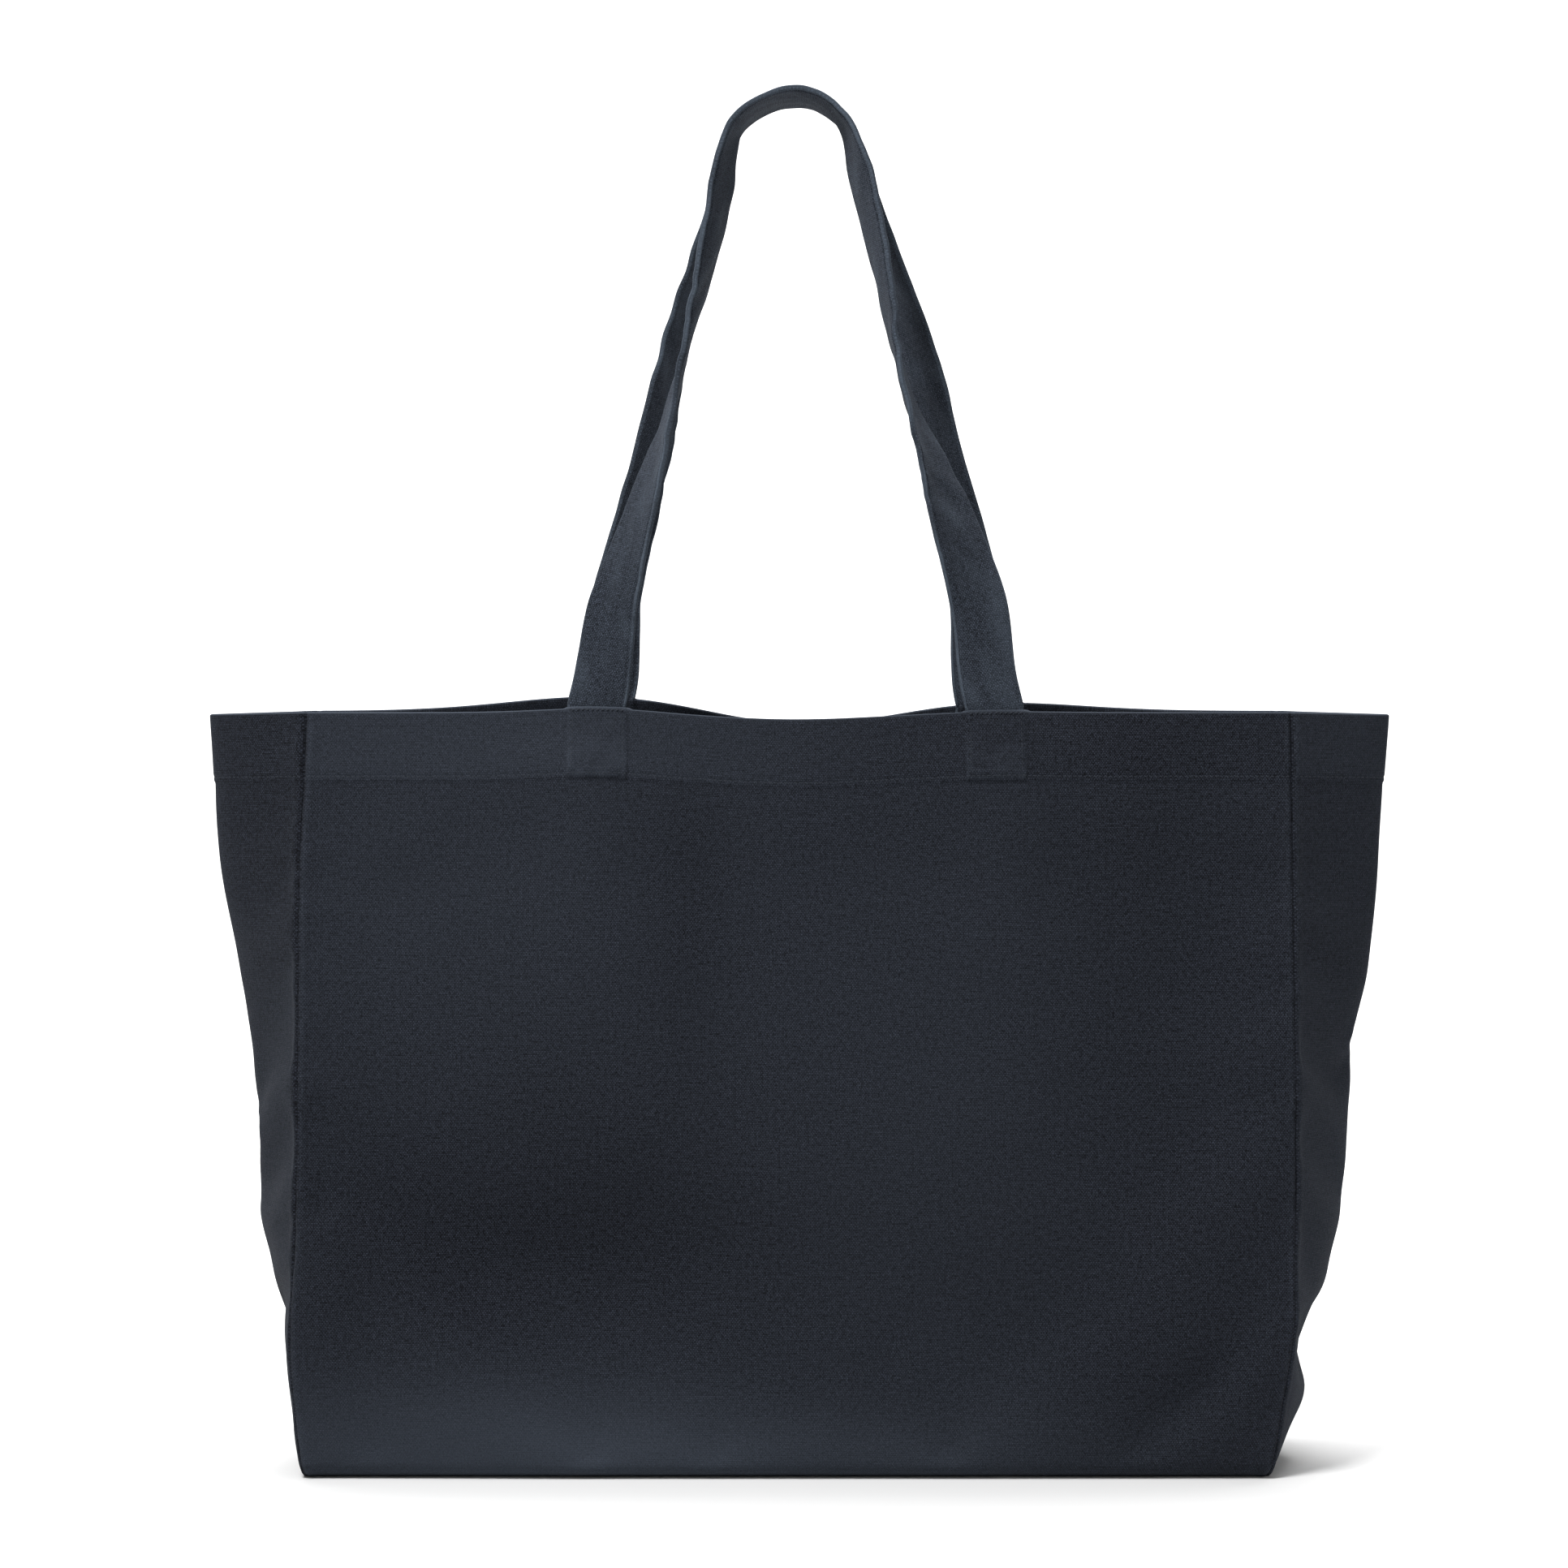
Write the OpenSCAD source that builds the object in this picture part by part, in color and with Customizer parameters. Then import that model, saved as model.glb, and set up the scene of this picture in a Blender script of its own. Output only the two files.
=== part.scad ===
// Canvas tote bag: a boxed body of flat woven panels with two side gussets, a turned
// hem round the mouth and two twisted strap handles.
// Millimetres. +Z is up, the front panel faces -Y and X runs across the bag.
// The origin is at the middle of the flat base, on the surface that the bag stands on.

/* [Body] */
// Width of the front and back panels between their side seams
panel_w = 510; // [420:10:560]
// Height from the base to the top of the hem
body_h = 393; // [340:1:430]
// Depth of the base, which is also the width of each gusset
base_d = 126; // [110:1:150]
// How far the top of each wall leans in from straight above the base's edge
rim_lean = 30; // [20:0.5:34]
// How sharply the lean gathers near the top
lean_power = 2.4; // [1.8:0.1:3]

/* [Cloth] */
// Thickness of one layer of canvas
cloth_t = 1; // [0.8:0.1:1.2]
// Clearance between a moving wall and the cloth beside it
seam_gap = 0.5; // [0.4:0.1:0.8]
// How far sewing thread stands proud of the cloth
thread_t = 0.25; // [0.2:0.05:0.3]
// Width of a row of sewing thread
thread_w = 0.8; // [0.6:0.1:1]

/* [Hem and seams] */
// Depth of the hem that is turned in round the mouth
hem_h = 36; // [30:1:42]
// Height of the hem's stitch row above the hem's lower edge
hem_row_up = 1.5; // [1:0.5:3]
// Width of each turned seam allowance inside the bag
seam_w = 11; // [9:1:14]
// Thickness of an overcast seam allowance, two layers and the thread round them
seam_t = 2.4; // [2:0.1:2.8]

/* [Handles] */
// Width of the strap
strap_w = 30; // [26:1:34]
// Thickness of the strap, four layers of folded canvas
strap_t = 2.6; // [2:0.1:3]
// Distance from the middle of the bag to the middle of each strap end
strap_x = 103; // [90:1:120]
// Height of the middle line of the loop above the top of the hem
loop_h = 319; // [280:1:340]
// Radius of the arch at the top of the loop
arch_r = 31; // [27:1:36]
// Outward bow of each leg between the hem and the arch
leg_bow = 4; // [0:0.5:6]
// Turn of the strap between its sewn end and the arch
strap_turn = 110; // [90:1:115]
// Turn of the back strap at the top of the arch, in degrees
back_turn = 90; // [80:1:95]
// Distance from the middle of the bag's depth to the middle of each strap at the arch
arch_y = 16.4; // [16:0.1:20]
// Distance of the strap's edge stitching from its edge
edge_row_in = 2.5; // [2:0.5:4]

/* [Hidden] */

canvas_blue = [0.17, 0.19, 0.22];
hem_blue = [0.19, 0.21, 0.25];
thread_blue = [0.25, 0.28, 0.33];
lining_blue = [0.15, 0.17, 0.2];

half_w = panel_w / 2;
half_d = base_d / 2;
hem_z = body_h - hem_h;
wall_steps = 27;
hem_steps = 3;
fold_steps = 4;
fold_row_lift = 0.1;
gusset_x = half_w + seam_gap + cloth_t;
allowance_gap = 1;
tab_up = 1;
pocket_side = 1.2;
stitch_margin = 2.5;
stitch_top = 4;

// Heights at which the cloth bends, from the base to the hem and over the hem
levels = concat(
    [for (i = [0 : wall_steps - 1]) hem_z * i / wall_steps],
    [for (i = [0 : hem_steps]) hem_z + hem_h * i / hem_steps]);

// Distance of a wall's outer face from the middle of the bag's depth at height z,
// straight between the levels so that neighbouring layers lie flat on each other
wall_line = [for (z = levels) [z, half_d - rim_lean * pow(z / body_h, lean_power)]];
function wall_y(z) = lookup(z, wall_line);

// The levels between two heights, with the two heights themselves
function levels_between(z0, z1) = concat([z0], [for (z = levels) if (z > z0 && z < z1) z], [z1]);

// Outward reach of the gusset's fold at height z, its half width staying the same
function fold_out(z) = sqrt(max(half_d * half_d - wall_y(z) * wall_y(z), 0));

// A sheet that follows the back wall from height z0 to z1 between x0 and x1.
// Depths are measured inwards from the wall's outer face.
module wall_sheet(x0, x1, z0, z1, depth0, depth1) {
    heights = levels_between(z0, z1);
    outer = [for (z = heights) [wall_y(z) - depth0, z]];
    inner = [for (i = [len(heights) - 1 : -1 : 0]) [wall_y(heights[i]) - depth1, heights[i]]];
    translate([x0, 0, 0])
        rotate([90, 0, 90])
            linear_extrude(height = x1 - x0)
                polygon(concat(outer, inner));
}

// Everything on the front wall is the back wall's part seen in a mirror
module on_wall(side) {
    if (side == "front") mirror([0, 1, 0]) children();
    else children();
}

// Everything on the left is the right-hand part seen in a mirror
module on_end(end) {
    if (end == "left") mirror([1, 0, 0]) children();
    else children();
}

// A point of a folded gusset at height z and depth inwards from its outer face.
// across runs from -1 at the front seam over 0 at the fold to 1 at the back seam.
function gusset_point(z, depth, across) =
    let (g = wall_y(z), o = fold_out(z), a = abs(across),
         seam = [gusset_x - depth * g / half_d, g - depth * o / half_d],
         fold = [gusset_x + o - depth * half_d / g, 0],
         p = fold + (seam - fold) * a)
    [p[0], sign(across) * p[1], z];

// One level of a gusset sheet as a closed outline in plan
function gusset_ring(z, depth0, depth1) = concat(
    [for (k = [-fold_steps : fold_steps]) gusset_point(z, depth0, k / fold_steps)],
    [for (k = [fold_steps : -1 : -fold_steps]) gusset_point(z, depth1, k / fold_steps)]);

// Triangles of a tube whose rings have n points each, with flat ends. A ring goes out
// over one face of a sheet and back over the other, and both faces are cut into
// triangles the same way. A cap joins each point to the one opposite.
function side_faces(r, i, n) =
    let (a = r * n + i, b = r * n + (i + 1) % n, c = a + n, d = b + n)
    i < n / 2 ? [[a, c, b], [b, c, d]] : [[a, c, d], [a, d, b]];
function cap_faces(n) =
    [for (i = [0 : n / 2 - 2]) each [[i, i + 1, n - 1 - i], [i + 1, n - 2 - i, n - 1 - i]]];
function tube_faces(rings, n) =
    let (cap = cap_faces(n))
    concat(
        [for (r = [0 : rings - 2], i = [0 : n - 1]) each side_faces(r, i, n)],
        cap,
        [for (f = cap) [for (k = [2 : -1 : 0]) (rings - 1) * n + f[k]]]);

// A sheet that follows the right-hand gusset from height z0 to z1
module gusset_sheet(z0, z1, depth0, depth1) {
    heights = levels_between(z0, z1);
    points = [for (z = heights, p = gusset_ring(z, depth0, depth1)) p];
    polyhedron(points, tube_faces(len(heights), len(gusset_ring(z0, depth0, depth1))));
}

// The flat bottom of the bag
module base_panel() {
    color(canvas_blue)
        translate([-half_w, -half_d + cloth_t + seam_gap, 0])
            cube([panel_w, base_d - 2 * (cloth_t + seam_gap), cloth_t]);
}

// One side gusset, folded outwards along its middle
module gusset(end) {
    color(canvas_blue)
        on_end(end) gusset_sheet(0, body_h, 0, cloth_t);
}

// The turned-in hem of one gusset
module gusset_hem(end) {
    color(hem_blue)
        on_end(end) gusset_sheet(hem_z, body_h, cloth_t, 2 * cloth_t);
}

// The stitch row that holds the hem of one gusset
module gusset_hem_stitch(end) {
    row_z = hem_z + hem_row_up;
    color(thread_blue)
        on_end(end)
            gusset_sheet(row_z, row_z + thread_w, -fold_row_lift - thread_t, -fold_row_lift);
}

// The overcast allowance where a gusset joins the end of the base
module base_seam(end) {
    color(lining_blue)
        on_end(end)
            translate([half_w - seam_t, -half_d + 4, cloth_t])
                cube([seam_t, base_d - 8, seam_w - allowance_gap]);
}

// The front or back panel
module panel(side) {
    color(canvas_blue)
        on_wall(side) wall_sheet(-half_w, half_w, 0, body_h, 0, cloth_t);
}

// The hem turned in along one panel, standing off round the two strap ends
module hem(side) {
    pocket = strap_w / 2 + pocket_side;
    inner = cloth_t + strap_t;
    z0 = hem_z;
    color(hem_blue)
        on_wall(side) {
            wall_sheet(-strap_x + pocket, strap_x - pocket, z0, body_h, cloth_t, 2 * cloth_t);
            for (s = [-1, 1]) {
                x_mid = s * strap_x;
                x_end = s * half_w;
                x_out = s * (strap_x + pocket);
                wall_sheet(min(x_out, x_end), max(x_out, x_end), z0, body_h, cloth_t, 2 * cloth_t);
                wall_sheet(x_mid - pocket, x_mid + pocket, z0, body_h, inner, inner + cloth_t);
                for (e = [-pocket, pocket - cloth_t])
                    wall_sheet(x_mid + e, x_mid + e + cloth_t, z0, body_h, cloth_t, inner);
            }
        }
}

// The stitch row that holds one panel's hem
module hem_stitch(side) {
    row_z = hem_z + hem_row_up;
    color(thread_blue)
        on_wall(side) wall_sheet(-half_w, half_w, row_z, row_z + thread_w, -thread_t, 0);
}

// The overcast allowance of one upright seam between a panel and a gusset
module side_seam(side, end) {
    z0 = seam_w + cloth_t + allowance_gap;
    z1 = hem_z - allowance_gap;
    color(lining_blue)
        on_wall(side) on_end(end)
            wall_sheet(half_w - seam_w, half_w, z0, z1, cloth_t, cloth_t + seam_t);
}

// The flat end of a handle, sewn between the panel and the turned hem
module tab(side, end) {
    color(hem_blue)
        on_wall(side) on_end(end)
            wall_sheet(strap_x - strap_w / 2, strap_x + strap_w / 2,
                       hem_z + tab_up, body_h, cloth_t, cloth_t + strap_t);
}

// The box of stitches that holds one handle end
module tab_stitch(side, end) {
    x0 = strap_x - strap_w / 2 + stitch_margin;
    x1 = strap_x + strap_w / 2 - stitch_margin;
    z0 = hem_z + hem_row_up + thread_w + stitch_margin;
    z1 = body_h - stitch_top;
    color(thread_blue)
        on_wall(side) on_end(end) {
            wall_sheet(x0, x1, z0, z0 + thread_w, -thread_t, 0);
            wall_sheet(x0, x1, z1 - thread_w, z1, -thread_t, 0);
            wall_sheet(x0, x0 + thread_w, z0 + thread_w, z1 - thread_w, -thread_t, 0);
            wall_sheet(x1 - thread_w, x1, z0 + thread_w, z1 - thread_w, -thread_t, 0);
        }
}

// The loop's middle line: a straight leg, bowed a little, then a round arch.
// leg_tilt is the leg's lean and also the arch's angle where the two meet.
leg_tilt = 14;
arch_z = body_h + loop_h - arch_r;
meet_x = arch_r * cos(leg_tilt);
meet_z = arch_z + arch_r * sin(leg_tilt);
loop_foot = 0.4;
leg_rings = 20;
arch_rings = 9;
turn_share = 0.92;
ease_from = 0.85;
apex_ease = 15;
back_power = 0.8;
thread_lift = 0.3;
strap_back_y = wall_y(body_h) - strap_t / 2 - thread_lift;

// Half of the loop as points [x, z] from the foot of a leg to the top of the arch
function leg_point(u) = [
    strap_x + (meet_x - strap_x) * u + leg_bow * sin(180 * u),
    body_h + loop_foot + (meet_z - body_h - loop_foot) * u];
function arch_point(v) =
    let (a = leg_tilt + (90 - leg_tilt) * v)
    [arch_r * cos(a), arch_z + arch_r * sin(a)];
half_loop = concat(
    [for (i = [0 : leg_rings - 1]) leg_point(i / leg_rings)],
    [for (i = [0 : arch_rings]) arch_point(i / arch_rings)]);
half_n = len(half_loop);
loop_line = concat(
    half_loop,
    [for (i = [half_n - 2 : -1 : 0]) [-half_loop[i][0], half_loop[i][1]]]);
loop_n = len(loop_line);

// Height share along the loop, its turn and its place in the bag's depth
function rise(i) = (loop_line[i][1] - body_h) / loop_h;
function soft_step(t) = let (s = max(0, min(1, t))) s * s * (3 - 2 * s);

// Turn of a strap at ring i: the front one turns early and eases back at the top of the
// arch, the back one turns late
function turn_at(i, side) =
    side == "front"
        ? strap_turn * sin(90 * min(1, rise(i) / turn_share))
            - apex_ease * soft_step((rise(i) - ease_from) / (1 - ease_from))
        : back_turn * pow(rise(i), back_power);
function depth_at(i) = strap_back_y + (arch_y - strap_back_y) * rise(i);

// Unit vector in the loop's plane that points out of the loop at ring i
function outward(i) =
    let (a = loop_line[max(i - 1, 0)],
         b = loop_line[min(i + 1, loop_n - 1)],
         d = [b[0] - a[0], b[1] - a[1]])
    i == 0 || i == loop_n - 1
        ? [sign(loop_line[i][0]), 0]
        : [d[1], -d[0]] / norm(d);

// A point of the strap's cross-section at ring i: across runs over the strap's width
// towards its stitched edge, through runs over its thickness towards its outer face
function strap_point(i, across, through, side) =
    let (p = loop_line[i], q = outward(i), t = turn_at(i, side),
         plane = -across * cos(t) + through * sin(t),
         depth = across * sin(t) + through * cos(t))
    [p[0] + plane * q[0], depth_at(i) + depth, p[1] + plane * q[1]];

// A sweep of a flat outline, given as [across, through] points, along the whole loop
module loop_sweep(outline, side) {
    points = [for (i = [0 : loop_n - 1], c = outline) strap_point(i, c[0], c[1], side)];
    polyhedron(points, tube_faces(loop_n, len(outline)));
}

// The strap's cross-section, thinner at its two edges, and that of a thread row
strap_share = [[-1, 0.5], [-0.93, 1], [0.93, 1], [1, 0.5]];
strap_outline = concat(
    [for (s = strap_share) [s[0] * strap_w / 2, -s[1] * strap_t / 2]],
    [for (k = [3 : -1 : 0]) [strap_share[k][0] * strap_w / 2, strap_share[k][1] * strap_t / 2]]);
function bar_outline(a0, a1, low, high) = [[a0, low], [a1, low], [a1, high], [a0, high]];

// One handle: a flat folded strap that turns as it rises to the arch
module handle(side) {
    color(hem_blue) on_wall(side) loop_sweep(strap_outline, side);
}

// The edge stitching of one handle, a row on each face of the strap
module handle_stitch(side) {
    a1 = strap_w / 2 - edge_row_in;
    a0 = a1 - thread_w;
    near = strap_t / 2 + thread_lift;
    far = near + thread_t;
    color(thread_blue)
        on_wall(side) {
            loop_sweep(bar_outline(a0, a1, near, far), side);
            loop_sweep(bar_outline(a0, a1, -far, -near), side);
        }
}

base_panel();
gusset("left");  // left_gusset
gusset("right");  // right_gusset
gusset_hem("left");  // left_gusset_hem
gusset_hem("right");  // right_gusset_hem
gusset_hem_stitch("left");  // left_gusset_hem_stitch
gusset_hem_stitch("right");  // right_gusset_hem_stitch
base_seam("left");  // left_base_seam
base_seam("right");  // right_base_seam
panel("front");  // front_panel
hem("front");  // front_hem
hem_stitch("front");  // front_hem_stitch
side_seam("front", "left");  // front_left_seam
side_seam("front", "right");  // front_right_seam
tab("front", "left");  // front_left_tab
tab("front", "right");  // front_right_tab
tab_stitch("front", "left");  // front_left_tab_stitch
tab_stitch("front", "right");  // front_right_tab_stitch
panel("back");  // back_panel
hem("back");  // back_hem
hem_stitch("back");  // back_hem_stitch
side_seam("back", "left");  // back_left_seam
side_seam("back", "right");  // back_right_seam
tab("back", "left");  // back_left_tab
tab("back", "right");  // back_right_tab
tab_stitch("back", "left");  // back_left_tab_stitch
tab_stitch("back", "right");  // back_right_tab_stitch
handle("front");  // front_handle
handle_stitch("front");  // front_handle_stitch
handle("back");  // back_handle
handle_stitch("back");  // back_handle_stitch
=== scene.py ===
"""Canvas tote bag: cloth panels, hems, seams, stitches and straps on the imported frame.

Metres. The bag stands on its flat base, the front panel faces -Y and +Z is up.
"""
import math

import bpy
import numpy as np
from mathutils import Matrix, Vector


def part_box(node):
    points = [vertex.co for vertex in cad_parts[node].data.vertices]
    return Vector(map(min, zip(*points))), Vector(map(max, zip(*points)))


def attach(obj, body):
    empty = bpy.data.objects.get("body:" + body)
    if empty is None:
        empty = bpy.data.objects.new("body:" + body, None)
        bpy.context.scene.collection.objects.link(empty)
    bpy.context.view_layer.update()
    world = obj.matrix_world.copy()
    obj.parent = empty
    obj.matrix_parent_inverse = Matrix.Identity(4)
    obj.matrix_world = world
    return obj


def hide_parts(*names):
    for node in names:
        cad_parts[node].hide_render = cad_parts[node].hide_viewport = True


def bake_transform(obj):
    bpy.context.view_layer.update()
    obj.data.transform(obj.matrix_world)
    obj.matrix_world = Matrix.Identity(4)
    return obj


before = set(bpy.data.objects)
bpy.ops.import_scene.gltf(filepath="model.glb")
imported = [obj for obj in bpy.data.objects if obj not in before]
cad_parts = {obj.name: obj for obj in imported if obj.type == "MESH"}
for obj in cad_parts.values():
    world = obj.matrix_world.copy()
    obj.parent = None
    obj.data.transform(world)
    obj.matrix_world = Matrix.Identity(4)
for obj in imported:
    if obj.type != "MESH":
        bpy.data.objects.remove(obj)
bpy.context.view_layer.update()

MM = 0.001
FRONT, BACK = -1, 1
LEFT, RIGHT = -1, 1
SIDE_NAME = {FRONT: "front", BACK: "back"}
END_NAME = {LEFT: "left", RIGHT: "right"}

# ---------------- sizes from the frame

panel_low, panel_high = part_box("back_panel")
hem_low, hem_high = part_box("back_hem")
tab_low, tab_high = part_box("back_right_tab")
loop_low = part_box("back_handle")[0]

CLOTH_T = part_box("base_panel")[1].z
HALF_W = panel_high.x
BODY_H = panel_high.z
HALF_D = panel_high.y
RIM_Y = panel_low.y + CLOTH_T
HEM_H = hem_high.z - hem_low.z
HEM_EDGE = BODY_H - HEM_H
SEAM_X = HALF_W + 0.7 * MM
TAB_X = (tab_low.x + tab_high.x) / 2
STRAP_W = tab_high.x - tab_low.x
TAB_LOW_Z = tab_low.z
ARCH_Y = loop_low.y + STRAP_W / 2

LEAN_POWER = 2.4
SHEET_T = 0.9 * MM
STRAP_T = 2.9 * MM
BASE_ROUND = 10 * MM
GRID = 2.5 * MM

# How far the side seams run in towards the base, by end
CORNER_INSET = {LEFT: 4 * MM, RIGHT: 13 * MM}
CORNER_RISE = {LEFT: 70 * MM, RIGHT: 85 * MM}
CORNER_POWER = {LEFT: 2.2, RIGHT: 1.35}
# Outward reach of each gusset's fold, as (height, reach) in millimetres
FOLD_LINE = {
    LEFT: [(0, 2), (60, 5), (85, 8), (104, 16), (124, 21.5), (165, 22.5), (204, 27), (254, 34.5),
           (304, 43.5), (340, 49), (393, 54)],
    RIGHT: [(0, 2), (18, 8), (34, 16), (46, 14), (58, 8), (74, 9), (93, 20), (117, 26), (167, 31),
            (215, 34), (250, 42), (304, 48), (393, 54)],
}


def smooth(t):
    """0 below 0, 1 above 1, and a smooth rise between."""
    t = np.clip(t, 0, 1)
    return t * t * (3 - 2 * t)


def bump(x, middle, wide):
    """A round hump of height 1 at middle."""
    return np.exp(-(((x - middle) / wide) ** 2))


def value_noise(x, y, seed):
    """Smooth noise from -1 to 1 with one lump for each unit of x and y."""
    table = np.random.default_rng(seed).uniform(-1, 1, (64, 64))
    xi, yi = np.floor(x).astype(int), np.floor(y).astype(int)
    fx, fy = smooth(x - xi), smooth(y - yi)
    def corner(i, j):
        return table[(xi + i) % 64, (yi + j) % 64]
    low = corner(0, 0) * (1 - fx) + corner(1, 0) * fx
    high = corner(0, 1) * (1 - fx) + corner(1, 1) * fx
    return low * (1 - fy) + high * fy


# ---------------- plain shape of the bag


def wall_y(z):
    """Distance of a wall from the middle of the bag's depth at height z."""
    return HALF_D - (HALF_D - RIM_Y) * np.clip(z / BODY_H, 0, None) ** LEAN_POWER


def fold_out(z, end):
    """Outward reach of a gusset's fold at height z, with soft corners."""
    heights, reaches = np.array(FOLD_LINE[end]).T * MM
    soft = [np.interp(z + shift, heights, reaches) for shift in np.linspace(-9 * MM, 9 * MM, 7)]
    return np.mean(soft, axis=0)


def seam_y(z, end):
    """Distance of a side seam from the middle of the depth, each half gusset keeping its width."""
    return np.sqrt(HALF_D ** 2 - fold_out(z, end) ** 2)


def seam_x(z, end):
    """Distance of a side seam from the middle of the width."""
    if end == LEFT:
        low_out = 3.5 * MM * bump(z, 0.07, 0.05)
        high_in = 3 * MM * smooth((z - 0.3) / 0.09)
        return SEAM_X + low_out - high_in - corner_in(z, end)
    return SEAM_X + 1.2 * MM * bump(z, 0.2, 0.12) - corner_in(z, end)


def rim_lift(x, side):
    """How far the rim is pulled up at the handles and hangs down between them."""
    if side == FRONT:
        pull = 2.3 * MM * bump(x, -TAB_X, 0.04) + 0.6 * MM * bump(x, TAB_X, 0.04)
        return pull - 3.6 * MM * bump(x, 0, 0.062)
    pull = 8 * MM * bump(x, -TAB_X, 0.07) + 5 * MM * bump(x, TAB_X, 0.065)
    return pull - 8 * MM * bump(x, 0.005, 0.065)


def corner_in(z, end):
    """How far a side seam runs in at height z, close to the base."""
    return CORNER_INSET[end] * (1 - np.clip(z / CORNER_RISE[end], 0, 1)) ** CORNER_POWER[end]


def base_in(z):
    """Inward shift of a wall where it rounds under to the base."""
    rise = np.clip(BASE_ROUND - z, 0, BASE_ROUND)
    return BASE_ROUND - np.sqrt(BASE_ROUND ** 2 - rise ** 2)


# Soft hollows and ridges of each wall: name, height in millimetres, place and width across,
# place and width up, then the slope of its lean and the height the lean turns about
FEATURES = {
    FRONT: [
        ("left ridge", 6, -0.108, 0.045, 0.27, 0.1, -0.1, 0.3),
        ("left valley", -4, -0.04, 0.03, 0.27, 0.11, -0.05, 0.3),
        ("middle", 5, 0.055, 0.07, 0.19, 0.13, 0.25, 0.2),
        ("right crease", -2.4, 0.132, 0.012, 0.315, 0.06, -0.42, 0.352),
        ("right ridge", 2.4, 0.162, 0.022, 0.31, 0.08, -0.42, 0.352),
        ("far dent", -4.5, 0.2, 0.055, 0.22, 0.13, 0, 0),
        ("low dent", -16, -0.13, 0.13, 0.1, 0.05, 0, 0),
        ("low right dent", -4, 0.12, 0.09, 0.075, 0.04, 0, 0),
        ("corner crease", -4, 0.215, 0.02, 0.045, 0.035, 0.9, 0.05),
    ],
    BACK: [
        ("belly", 6, 0.04, 0.14, 0.19, 0.13, 0, 0),
        ("ridge", 4.5, 0.09, 0.04, 0.27, 0.1, 0.25, 0.3),
        ("fold", -4.5, -0.12, 0.045, 0.2, 0.11, -0.3, 0.2),
        ("dent", -9, 0.12, 0.12, 0.1, 0.055, 0, 0),
    ],
}


def wall_feature(x, z, side):
    """Soft hollows and ridges of one wall, outwards positive."""
    total = 0
    for _, height, x_at, wide, z_at, tall, lean, about in FEATURES[side]:
        total = total + height * MM * bump(x - lean * (z - about), x_at, wide) * bump(z, z_at, tall)
    return total


def edge_hold(x, z):
    """1 in the open part of a wall, 0 at its seams, its base and its rim."""
    sides = smooth((HALF_W - np.abs(x)) / 0.045)
    return sides * smooth(z / 0.05) * smooth((BODY_H - z) / 0.03)


def wall_shape(u, v, side):
    """Points of a wall: u runs across it from its middle and v up it from the base."""
    z = v * (1 + rim_lift(u, side) / BODY_H)
    x = u / HALF_W * np.where(u < 0, seam_x(v, LEFT), seam_x(v, RIGHT))
    seam = np.where(u < 0, seam_y(v, LEFT), seam_y(v, RIGHT))
    line = wall_y(v) + (seam - wall_y(v)) * smooth((np.abs(u) - 0.1) / (HALF_W - 0.1))
    out = wall_feature(u, v, side) * edge_hold(u, v)
    lumps = 0.9 * MM * value_noise(u / 0.055 + 9, v / 0.07 + 3 * side, 11)
    lumps += 0.45 * MM * value_noise(u / 0.022 + 4, v / 0.03, 12)
    y = line - base_in(v) + out + lumps * edge_hold(u, v)
    return np.stack([x, side * y, z], -1)


def gusset_shape(a, v, end):
    """Points of a gusset: a runs from -1 at the front seam to 1 at the back seam."""
    soft = 0.16
    tent = (math.hypot(1, soft) - np.sqrt(a ** 2 + soft ** 2)) / (math.hypot(1, soft) - soft)
    g = seam_y(v, end) - base_in(v)
    billow = 2.2 * MM * np.sin(np.pi * np.abs(a)) * bump(v, 0.14, 0.05)
    if end == RIGHT:
        billow = 3 * MM * np.sin(np.pi * np.abs(a)) * (bump(v, 0.12, 0.04) - 0.8 * bump(v, 0.215, 0.03))
    x = seam_x(v, end) + corner_in(v, end) * 0.3 * (1 - a ** 2) + fold_out(v, end) * tent + billow
    lumps = 0.8 * MM * value_noise(a * 2.2 + 20, v / 0.045 + 5 * end, 13) * (1 - a ** 4)
    crumple = 1.1 * MM * value_noise(a * 2.5 + v / 0.03, v / 0.022, 14)
    lumps = lumps + crumple * (1 - a ** 4) * bump(v, 0.12, 0.13)
    x = x + lumps * smooth(v / 0.04)
    lift = (1 - a) / 2 * rim_lift(end * HALF_W, FRONT) + (1 + a) / 2 * rim_lift(end * HALF_W, BACK)
    z = v * (1 + (lift - 1.5 * MM * tent) / BODY_H)
    return np.stack([end * x, g * a, z], -1)


# ---------------- cloth simulation

COARSE = 8 * MM
SIM_FRAMES = 18
SIM_CAP = 6 * MM
SLACK = 0.006
GRAVITY_SHARE = 0.15


def coarse_axis(low, high):
    """Even grid values from low to high."""
    return np.linspace(low, high, max(2, int(round((high - low) / COARSE)) + 1))


U_COARSE = coarse_axis(-HALF_W, HALF_W)
V_COARSE = coarse_axis(0, BODY_H)
A_COARSE = coarse_axis(-HALF_D, HALF_D) / HALF_D


def shell_grids():
    """The four upright cloth faces of the bag as coarse grids, by name."""
    u, v = np.meshgrid(U_COARSE, V_COARSE, indexing="ij")
    a, w = np.meshgrid(A_COARSE, V_COARSE, indexing="ij")
    return {
        "front": wall_shape(u, v, FRONT), "back": wall_shape(u, v, BACK),
        "left": gusset_shape(a, w, LEFT), "right": gusset_shape(a, w, RIGHT),
    }


def grid_faces(n, m, start=0):
    """Quads of an n by m grid of points, first index slow."""
    i, j = np.meshgrid(np.arange(n - 1), np.arange(m - 1), indexing="ij")
    k = (i * m + j).ravel() + start
    return np.stack([k, k + m, k + m + 1, k + 1], -1)


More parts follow.
